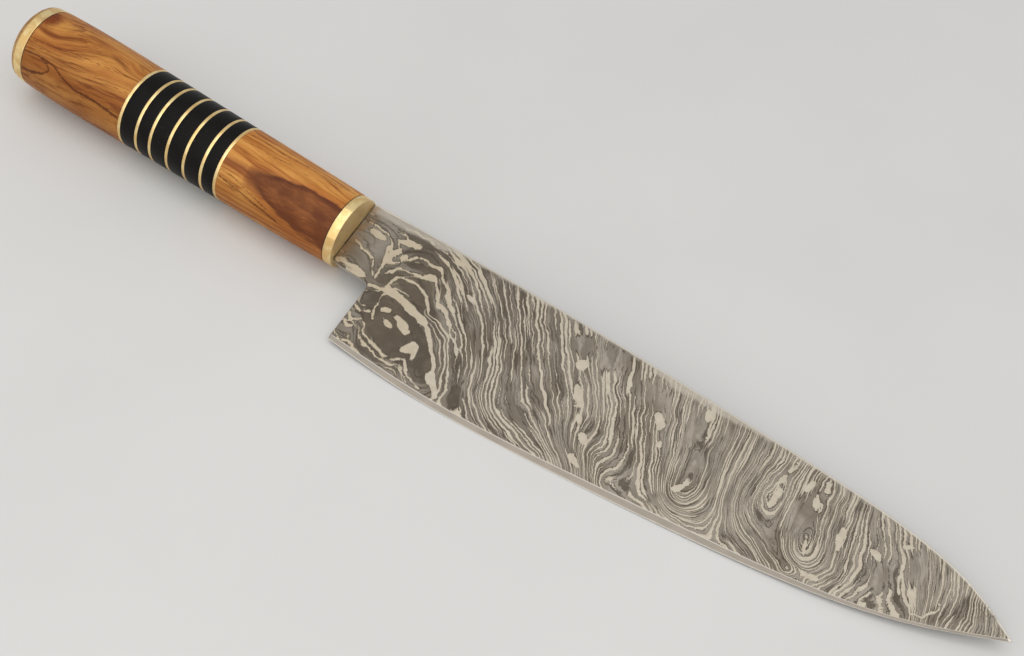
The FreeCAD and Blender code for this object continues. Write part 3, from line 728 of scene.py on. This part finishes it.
class Paint:
    """A material's node tree, with a short call per kind of node.

    Inputs are sockets or plain values, and a tuple given to mix or cover is a picker's colour.
    """

    def __init__(self, name, metallic, roughness):
        self.material = bpy.data.materials.new(name)
        self.material.use_nodes = True
        self.tree = self.material.node_tree
        self.shader = next(n for n in self.tree.nodes if n.type == "BSDF_PRINCIPLED")
        self.shader.inputs["Metallic"].default_value = metallic
        self.shader.inputs["Roughness"].default_value = roughness
        values = {"Vector": self.node("ShaderNodeTexCoord").outputs["Object"], "Location": KNIFE.translation,
                  "Rotation": (REST_ROLL, REST_PITCH, 0.0), "Scale": (MM,) * 3}
        self.where = self.node("ShaderNodeMapping", values, vector_type="TEXTURE").outputs[0]
        split = self.node("ShaderNodeSeparateXYZ", {0: self.where})
        self.x, self.y, self.z = split.outputs

    def node(self, kind, values=None, **settings):
        made = self.tree.nodes.new(kind)
        for key, value in settings.items():
            setattr(made, key, value)
        for key, value in (values or {}).items():
            self.plug(made.inputs[key], value)
        return made

    def plug(self, socket, value):
        if isinstance(value, bpy.types.NodeSocket):
            self.tree.links.new(value, socket)
        else:
            socket.default_value = value

    def math(self, operation, first, second=0.0, third=0.0, clamp=False):
        values = {0: first, 1: second, 2: third}
        return self.node("ShaderNodeMath", values, operation=operation, use_clamp=clamp).outputs[0]

    def times(self, first, second):
        return self.math("MULTIPLY", first, second)

    def times_plus(self, first, second, third):
        """first times second, plus third."""
        return self.math("MULTIPLY_ADD", first, second, third)

    def either_way(self, noise, reach):
        """A noise between 0 and 1 as a shift between -reach and reach."""
        return self.times_plus(noise, 2 * reach, -reach)

    def step(self, value, low, high):
        """Smooth step from 0 at low to 1 at high, also with low above high."""
        values = {"Value": value, "From Min": low, "From Max": high}
        return self.node("ShaderNodeMapRange", values, interpolation_type="SMOOTHSTEP").outputs[0]

    def vector(self, x, y, z):
        return self.node("ShaderNodeCombineXYZ", {0: x, 1: y, 2: z}).outputs[0]

    def distance_to(self, point):
        made = self.node("ShaderNodeVectorMath", {0: self.where, 1: point}, operation="DISTANCE")
        return made.outputs["Value"]

    def noise(self, vector, scale, detail, roughness):
        values = {"Vector": vector, "Scale": scale, "Detail": detail, "Roughness": roughness}
        return self.node("ShaderNodeTexNoise", values).outputs[0]

    def clouds(self, scale, detail=2.0, roughness=0.5):
        return self.noise(self.where, scale, detail, roughness)

    def streaks(self, scales, detail=3.0, roughness=0.7):
        """Noise scaled along the knife's axes one by one."""
        vector = self.node("ShaderNodeMapping", {"Vector": self.where, "Scale": scales}).outputs[0]
        return self.noise(vector, 1.0, detail, roughness)

    def mix(self, factor, low, high, blend="MIX"):
        made = self.node("ShaderNodeMix", data_type="RGBA", blend_type=blend)
        self.plug(made.inputs[0], factor)
        for index, value in ((6, low), (7, high)):
            self.plug(made.inputs[index], colour(*value) if isinstance(value, tuple) else value)
        return made.outputs[2]

    def cover(self, base, mask, strength, top, blend="MIX"):
        """The base colour with top over it, at that strength where the mask is 1."""
        return self.mix(self.times(mask, strength), base, top, blend)

    def field(self, name):
        return self.node("ShaderNodeAttribute", attribute_name=name).outputs["Fac"]

    def set(self, name, value):
        self.plug(self.shader.inputs[name], value)

    def bump(self, height, depth):
        """depth is how far a height of 1 stands out, in millimetres."""
        values = {"Height": height, "Distance": depth * MM, "Strength": 1.0}
        self.set("Normal", self.node("ShaderNodeBump", values).outputs[0])


def damascus_material():
    """Light and dark layers along the contour lines of the height map, etched to different depths."""
    paint = Paint("damascus_steel", 0.75, 0.4)
    wander = paint.clouds(0.2, 2.0, 0.55)
    jag = paint.clouds(2.1, 2.0, 0.6)
    height = paint.math("ADD", paint.field("layers"), paint.either_way(wander, 0.6))
    height = paint.math("ADD", height, paint.either_way(jag, 0.18))

    calm = paint.field("calm")
    regular = paint.math("SINE", paint.times(height, 10.0))
    stack = paint.times_plus(regular, 0.085, layer_noise(paint, height, 3.0, 1.0))
    threshold = paint.times_plus(calm, 0.3, 0.55)
    chance = paint.times(paint.math("SUBTRACT", stack, threshold), 1.7)
    placed = paint.math("ADD", paint.field("placed"), paint.either_way(jag, 0.45))
    inside = paint.math("MAXIMUM", chance, placed)
    light = paint.step(inside, -0.03, 0.05)
    outline = paint.math("SUBTRACT", paint.step(inside, -0.2, -0.1), light, clamp=True)

    dark = dark_layers(paint, height, stack, calm, wander)
    dark = paint.cover(dark, outline, 0.8, (74, 65, 54))
    steel = paint.mix(light, dark, light_layers(paint))
    steel = polished_spine(paint, steel, wander)
    brushed = paint.streaks((0.12, 5.0, 5.0))
    steel = paint.cover(steel, brushed, 0.3, (120, 112, 100), "OVERLAY")
    paint.set("Base Color", stained(paint, steel))
    paint.set("Roughness", paint.times_plus(light, -0.1, paint.times_plus(brushed, 0.14, 0.4)))
    paint.bump(light, 0.012)
    return paint.material


def layer_noise(paint, height, frequency, detail):
    """Noise that changes from layer to layer and slowly along each, different on the far side."""
    far_side = paint.times(paint.math("LESS_THAN", paint.z, 0.0), 8.0)
    along_x = paint.times(paint.x, 0.05)
    along_y = paint.times_plus(paint.y, 0.05, far_side)
    vector = paint.vector(paint.times(height, frequency), along_x, along_y)
    return paint.noise(vector, 1.0, detail, 0.6)


def dark_layers(paint, height, stack, calm, wander):
    """Dark steel, darkest in the quiet places near the heel and greyer towards the tip.

    The thin layers stay dark, and burnt patches and a fine mottle lie over all of it.
    """
    forward = paint.step(paint.x, 30.0, 120.0)
    tone = paint.step(layer_noise(paint, height, 0.6, 2.0), 0.45, 0.54)
    greyness = paint.times_plus(tone, 0.45, paint.times_plus(forward, 0.55, 0.15))
    deep = paint.times(paint.step(calm, 0.3, 0.6), paint.step(paint.x, 62.0, 50.0))
    greyness = paint.math("SUBTRACT", greyness, paint.times(deep, 0.6), clamp=True)
    neck = paint.times(paint.step(paint.x, 18.0, 9.0), 0.7)
    greyness = paint.math("MAXIMUM", greyness, neck)
    greyness = paint.times_plus(paint.step(paint.x, 196.0, 214.0), 0.4, greyness)
    dark = paint.mix(greyness, (84, 75, 64), (156, 148, 135))

    thin = paint.times(paint.step(stack, 0.38, 0.34), paint.times_plus(forward, -0.5, 0.75))
    dark = paint.mix(thin, dark, (86, 77, 65))
    patches = paint.step(paint.clouds(0.055, 2.0), 0.5, 0.64)
    burn = paint.step(paint.times_plus(wander, 8.0, paint.distance_to(BURN_AT)), 15.0, 8.0)
    dark = paint.cover(dark, paint.math("MAXIMUM", patches, burn), 0.6, (100, 89, 74))
    mottle = paint.step(paint.clouds(0.45, 3.0, 0.6), 0.42, 0.66)
    return paint.cover(dark, mottle, 0.3, (112, 101, 86))


def light_layers(paint):
    """Pale steel, tan near the heel."""
    cloud = paint.clouds(0.5, 2.0)
    pale = paint.mix(cloud, (166, 155, 136), (190, 181, 165))
    return paint.cover(pale, paint.step(paint.x, 50.0, 20.0), 0.6, (176, 161, 134))


def polished_spine(paint, steel, wander):
    """The steel with a strip polished plain under the spine and a painted highlight on the arris above it.

    The strip is wider round x = 113 and from the neck to about x = 30.
    """
    wide = paint.times(paint.step(paint.x, 92.0, 106.0), paint.step(paint.x, 136.0, 120.0))
    wide = paint.math("MAXIMUM", wide, paint.step(paint.x, 42.0, 22.0))
    from_spine = paint.field("from_spine")
    strip_edge = paint.times_plus(wander, 2.8, from_spine)
    strip_edge = paint.times_plus(wide, -1.8, strip_edge)
    steel = paint.cover(steel, paint.step(strip_edge, 2.8, 1.5), 0.75, (178, 170, 156))
    # Painted highlight: the arris along the spine is made pale.
    return paint.mix(paint.step(from_spine, 0.7, 0.4), steel, (210, 204, 192))


def stained(paint, steel):
    """The steel with brown stains where the neck leaves the ferrule and dark spots near the tip."""
    blotches = paint.step(paint.clouds(0.5), 0.4, 0.6)
    blotches = paint.times(paint.step(paint.x, 5.0, 0.5), blotches)
    steel = paint.cover(steel, blotches, 0.45, (152, 118, 78))
    specks = paint.step(paint.clouds(1.8, 2.0, 0.7), 0.5, 0.6)
    spots = paint.times(paint.step(paint.distance_to(SPOTS_AT), 4.0, 1.0), specks)
    return paint.cover(steel, spots, 0.7, (70, 62, 52))


def satin_material():
    """Plain steel of the bevel and of the edges all round, brushed along the blade.

    The bevel's two borders and the spine carry painted highlights, and the end at the ferrule is painted dark
    as shade in its joint.
    """
    paint = Paint("satin_steel", 0.8, 0.35)
    brushed = paint.streaks((0.2, 6.0, 6.0))
    cloud = paint.clouds(0.15, 2.0)
    steel = paint.mix(brushed, (112, 104, 93), (156, 148, 136))
    steel = paint.cover(steel, paint.step(cloud, 0.35, 0.7), 0.6, (148, 139, 126))
    share = paint.field("bevel_share")
    # Painted highlights: the bevel's two borders and the spine's faces are made pale.
    borders = paint.math("MAXIMUM", paint.step(share, 0.2, 0.0), paint.step(share, 0.8, 1.0))
    on_spine = paint.step(paint.field("from_spine"), 1.0, 0.8)
    bright = paint.math("MAXIMUM", paint.times(borders, 0.6), on_spine)
    steel = paint.mix(bright, steel, (206, 200, 188))
    # Painted shade: the end that meets the ferrule, and the tang and rod behind it, are made dark.
    steel = paint.mix(paint.step(paint.x, 0.5, 0.3), steel, (58, 48, 36))
    paint.set("Base Color", steel)
    paint.set("Roughness", paint.times_plus(brushed, 0.2, 0.26))
    paint.bump(brushed, 0.01)
    return paint.material


def brass_material(name, aged=False):
    """Brass polished by hand, with round scratches and clouds of tarnish, stronger when aged."""
    paint = Paint(name, 1.0, 0.25)
    turned = paint.streaks((9.0, 0.5, 0.5))
    cloud = paint.clouds(0.3, 3.0, 0.6)
    tarnish = 0.35 if aged else 0.25
    brass = paint.mix(cloud, (238, 200, 128), (252, 232, 176))
    brass = paint.cover(brass, paint.step(cloud, 0.62, 0.42), tarnish, (204, 146, 70))
    # Aged brass also gets a dull film and a painted reflection on the cap's rim.
    if aged:
        brass = aged_brass_with_rim_reflection(paint, brass)
    paint.set("Base Color", brass)
    paint.set("Roughness", paint.times_plus(turned, 0.22, 0.26))
    paint.bump(turned, 0.006)
    return paint.material


def aged_brass_with_rim_reflection(paint, brass):
    """The brass with a dull film on the ferrule's front face, and a brown painted reflection in patches on
    the cap's rim.
    """
    film_and_reflection_patches = paint.step(paint.clouds(0.6, 3.0, 0.65), 0.4, 0.62)
    film_and_reflection_patches = paint.times_plus(film_and_reflection_patches, 0.45, 0.5)
    film = paint.times(paint.step(paint.x, -0.35, -0.1), film_and_reflection_patches)
    brass = paint.mix(film, brass, (206, 178, 126))
    paint.set("Metallic", paint.times_plus(film, -0.7, 1.0))

    # Painted reflection: the cap's rounded rear rim, and faintly its rear face, turn brown in patches.
    across = paint.vector(0.0, paint.y, paint.z)
    from_axis = paint.node("ShaderNodeVectorMath", {0: across}, operation="LENGTH").outputs["Value"]
    rim = paint.times(paint.step(paint.x, -121.7, -122.3), paint.step(from_axis, 9.5, 11.0))
    rear_face = paint.times(paint.step(paint.x, -122.0, -122.5), 0.2)
    brown = paint.times(paint.times_plus(rim, 0.6, rear_face), film_and_reflection_patches)
    return paint.mix(brown, brass, (156, 92, 42))


def black_material():
    """Black resin or horn, satin with fine turning marks and a few pale flecks."""
    paint = Paint("black_resin", 0.0, 0.35)
    turned = paint.streaks((6.0, 0.25, 0.25))
    flecks = paint.step(paint.clouds(1.7, 2.0), 0.62, 0.74)
    black = paint.mix(turned, (10, 9, 9), (26, 24, 22))
    black = paint.cover(black, flecks, 0.35, (58, 54, 48))
    paint.set("Base Color", black)
    paint.set("Roughness", paint.times_plus(turned, 0.25, 0.28))
    paint.set("Specular IOR Level", 0.08)
    paint.bump(turned, 0.008)
    return paint.material


def wood_grain(paint, slant, low, middle, high, arch=0.0):
    """Broad soft tones, thin growth lines, fibres and short pores along the handle.

    The lines climb by slant along the handle and are lifted by arch where that is given.
    Returns the colour and the fibres, which also make the relief.
    """
    drift = paint.streaks((0.05, 0.1, 0.1), 2.0, 0.5)
    sideways = paint.math("SUBTRACT", paint.times_plus(paint.x, slant, paint.y), arch)
    sideways = paint.math("ADD", sideways, paint.either_way(drift, 2.5))

    def grain(along, across, detail, roughness):
        x = paint.times(paint.x, along)
        y = paint.times(sideways, across)
        z = paint.times(paint.z, across * 0.8)
        return paint.noise(paint.vector(x, y, z), 1.0, detail, roughness)

    broad = grain(0.035, 0.2, 2.0, 0.5)
    lines = grain(0.03, 1.1, 3.0, 0.6)
    fibres = grain(0.15, 5.0, 3.0, 0.7)
    pores = grain(0.4, 9.0, 1.0, 0.5)
    tone = paint.mix(paint.step(broad, 0.3, 0.7), middle, high)
    tone = paint.cover(tone, paint.step(lines, 0.42, 0.7), 0.9, low)
    tone = paint.cover(tone, paint.step(fibres, 0.45, 0.8), 0.6, low)
    tone = paint.cover(tone, paint.step(pores, 0.62, 0.72), 0.25, (84, 44, 16))
    return tone, fibres


def finish_wood(paint, tone, fibres):
    """Drawn lines, oil finish and relief shared by both blocks."""
    wobble = paint.either_way(paint.clouds(1.1, 2.0), 0.18)
    mark = paint.step(paint.math("ADD", paint.field("marks"), wobble), -0.12, 0.14)
    tone = paint.cover(tone, mark, 0.8, (74, 34, 14))
    paint.set("Base Color", tone)
    paint.set("Roughness", paint.times_plus(fibres, 0.2, 0.34))
    paint.set("Specular IOR Level", 0.12)
    paint.bump(paint.math("SUBTRACT", paint.times(fibres, -0.4), mark), 0.04)
    return paint.material


def front_wood_material():
    """Golden block with a spearhead of purple-brown heartwood that widens to the ferrule, and painted shade
    towards its lower side.
    """
    paint = Paint("front_block", 0.0, 0.4)
    browns = (134, 72, 28), (184, 118, 52), (214, 154, 80)
    tone, fibres = wood_grain(paint, 0.02, *browns)
    inward = inside_heart(paint)
    upper = paint.step(paint.z, -2.0, 4.0)
    halo = paint.times(paint.step(inward, -2.6, -0.2), upper)
    tone = paint.cover(tone, halo, 0.5, (156, 84, 40))

    softness = paint.times_plus(paint.step(paint.x, -24.0, -34.0), 2.5, 0.4)
    heart = paint.step(paint.math("DIVIDE", inward, softness), -1.0, 1.0)
    patch = paint.streaks((0.12, 0.3, 0.3), 3.0, 0.55)
    warm = paint.mix(paint.step(patch, 0.35, 0.68), (100, 54, 28), (138, 82, 44))
    warm = paint.cover(warm, paint.step(inward, 2.0, 0.5), 0.85, (84, 42, 28))
    warm = paint.cover(warm, paint.step(fibres, 0.42, 0.7), 0.65, (72, 34, 20))
    tone = paint.cover(tone, paint.times(heart, upper), 0.95, warm)
    # Painted shade: the block turns darker towards its lower side, below y = -5.
    tone = paint.cover(tone, paint.step(paint.y, -5.0, -12.0), 0.35, (110, 60, 24))
    return finish_wood(paint, tone, fibres)


def inside_heart(paint):
    """How far inside the heartwood's outline a point lies, in millimetres; negative outside."""
    point, middle = -34.5, -5.0
    length, half_width_there, half_width_limit = 19.0, 5.4, 5.7
    from_point = paint.math("MAXIMUM", paint.math("SUBTRACT", paint.x, point), 0.0)
    half_width = paint.times(paint.math("SQRT", paint.math("DIVIDE", from_point, length)), half_width_there)
    half_width = paint.math("MINIMUM", half_width, half_width_limit)
    off_middle = paint.math("ABSOLUTE", paint.math("SUBTRACT", paint.y, middle))
    ragged = paint.streaks((0.16, 0.5, 0.5), 3.0, 0.5)
    off_middle = paint.math("ADD", off_middle, paint.either_way(ragged, 1.0))
    return paint.math("SUBTRACT", half_width, off_middle)


def rear_wood_material():
    """Tan-brown block with a red knot beside the cap, and painted shade towards its lower side."""
    paint = Paint("rear_block", 0.0, 0.4)
    arch = paint.times(paint.step(paint.x, -118.0, -99.0), paint.step(paint.x, -78.0, -97.0))
    arch = paint.times(paint.times(arch, paint.step(paint.y, -4.0, 7.0)), 4.0)
    browns = (112, 56, 22), (164, 100, 44), (200, 140, 70)
    tone, fibres = wood_grain(paint, -0.13, *browns, arch)
    wobble = paint.either_way(paint.clouds(0.5, 2.0), 1.5)
    knot = paint.step(paint.math("ADD", paint.distance_to(KNOT_AT), wobble), 6.0, 1.8)
    tone = paint.cover(tone, knot, 0.9, (108, 44, 16))
    # Painted shade: the block turns darker towards its lower side, below y = -1.
    tone = paint.cover(tone, paint.step(paint.y, -1.0, -11.0), 0.4, (96, 50, 18))
    return finish_wood(paint, tone, fibres)


def mottled_material(name, dark, pale, scale, metallic, roughness):
    """Simple mottled finish for the hidden and the very thin pieces."""
    paint = Paint(name, metallic, roughness)
    cloud = paint.clouds(scale, 4.0, 0.6)
    paint.set("Base Color", paint.mix(paint.step(cloud, 0.35, 0.65), dark, pale))
    paint.set("Roughness", paint.times_plus(cloud, 0.3, roughness - 0.15))
    paint.bump(cloud, 0.02)
    return paint.material


def dress_cad_nodes():
    """Materials of the nodes that keep their CAD meshes: the glue and the fixing inside."""
    glue = mottled_material("dark_glue", (24, 19, 14), (52, 40, 28), 0.9, 0.0, 0.5)
    steel = mottled_material("turned_steel", (120, 120, 122), (178, 178, 180), 0.7, 1.0, 0.35)
    glued = ("ferrule_glue_line", "cap_glue_line", "tang_epoxy", "butt_epoxy")
    for label in (*glued, "tang_washer", "tang_nut"):
        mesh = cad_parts[label].data
        mesh.materials.clear()
        mesh.materials.append(glue if label in glued else steel)


# ---- studio ----

# The photograph's viewpoint, in the knife's axes and millimetres.
CAMERA_AT = (153.35, -148.24, 399.4)
CAMERA_LOOKS_AT = (56.64, 0.69, 0.0)
CAMERA_RIGHT = (0.83315, 0.55303, 0.00448)
CAMERA_LENS = 52.62
SENSOR_WIDTH = 36.0

# Half the floor's side, in metres.
FLOOR_HALF = 12.0


def make_camera():
    """The camera at the photograph's viewpoint."""
    turn = KNIFE.to_3x3()
    location = KNIFE @ (Vector(CAMERA_AT) * MM)
    back = (turn @ (Vector(CAMERA_AT) - Vector(CAMERA_LOOKS_AT))).normalized()
    up = back.cross(turn @ Vector(CAMERA_RIGHT)).normalized()
    right = up.cross(back)
    camera = add_object("camera", bpy.data.cameras.new("camera"))
    camera.data.lens = CAMERA_LENS
    camera.data.sensor_width = SENSOR_WIDTH
    camera.data.clip_start = 0.01
    camera.matrix_world = Matrix.Translation(location) @ Matrix((right, up, back)).transposed().to_4x4()
    bpy.context.scene.camera = camera


def make_floor():
    """Pale floor that reaches past every view."""
    paint = Paint("pale_floor", 0.0, 0.7)
    cloud = paint.clouds(0.01, 3.0)
    paint.set("Base Color", paint.mix(cloud, (205, 203, 199), (216, 214, 210)))
    mesh = bpy.data.meshes.new("floor")
    corners = [(x * FLOOR_HALF, y * FLOOR_HALF, 0) for x, y in ((-1, -1), (1, -1), (1, 1), (-1, 1))]
    mesh.from_pydata(corners, [], [(0, 1, 2, 3)])
    mesh.materials.append(paint.material)
    floor = add_object("floor", mesh)


def make_surroundings():
    """Even, slightly cool light from all round."""
    world = bpy.data.worlds.new("surroundings")
    world.use_nodes = True
    background = next(n for n in world.node_tree.nodes if n.type == "BACKGROUND")
    background.inputs["Color"].default_value = (0.96, 0.97, 1.0, 1.0)
    background.inputs["Strength"].default_value = 0.6
    bpy.context.scene.world = world


def add_softbox(name, towards, distance, size, power):
    """Rectangular area light that looks at the knife's middle. Distance and size are in metres."""
    lamp = bpy.data.lights.new(name, "AREA")
    lamp.shape = "RECTANGLE"
    lamp.size, lamp.size_y = size
    lamp.energy = power
    softbox = add_object(name, lamp)
    direction = Vector(towards).normalized()
    softbox.location = direction * distance
    softbox.rotation_euler = direction.to_track_quat("Z", "Y").to_euler()


# ---- the whole picture ----

make_handle()
make_blade()
dress_cad_nodes()
make_floor()
make_surroundings()
add_softbox("key", towards=(0.05, -0.25, 1.0), distance=1.2, size=(1.8, 1.3), power=8.0)
add_softbox("front", towards=(-0.1, -1.0, 0.6), distance=1.3, size=(1.8, 1.1), power=5.5)
make_camera()
bpy.context.scene.view_settings.view_transform = "Standard"
